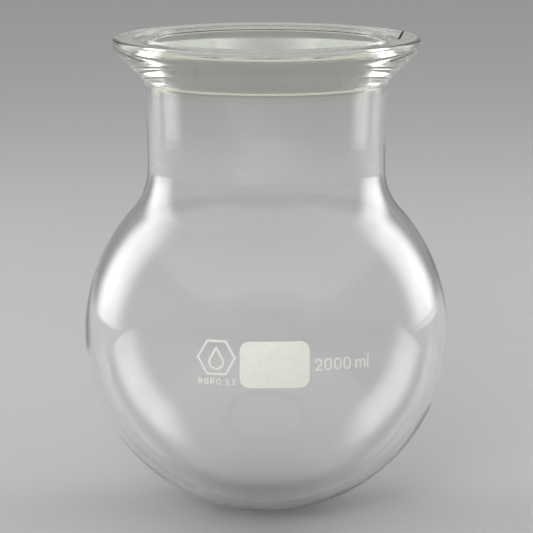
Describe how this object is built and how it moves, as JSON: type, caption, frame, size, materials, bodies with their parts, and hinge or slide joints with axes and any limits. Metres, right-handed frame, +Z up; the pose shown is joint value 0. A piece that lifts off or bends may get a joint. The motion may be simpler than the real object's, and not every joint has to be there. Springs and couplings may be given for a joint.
{
  "type": "flat flange round bottom flask",
  "caption": "Wide-neck round bottom glass flask with a flat ground flange and O-ring groove, white enamel writing panel and capacity print",
  "frame": {"origin": "lowest point of the bulb, on the axis of revolution", "axes": "+Z up along the axis through bulb, neck and flange; the printed side faces -Y"},
  "size_m": [0.1644, 0.1645, 0.2156],
  "materials": {
    "bulb_glass": "clear, fire-polished borosilicate glass",
    "neck_glass": "clear, drawn borosilicate glass",
    "flange_glass": "clear pressed borosilicate glass, ground on top",
    "white_enamel": "fired white enamel, satin",
    "black_enamel": "fired black enamel, satin"
  },
  "bodies": {
    "root": {"bulb": "bulb_glass", "neck": "neck_glass", "flange": "flange_glass", "writing_panel": "white_enamel", "emblem_print": "white_enamel", "capacity_print": "white_enamel", "glass_grade_print": "white_enamel", "index_mark": "black_enamel"}
  },
  "joints": []
}
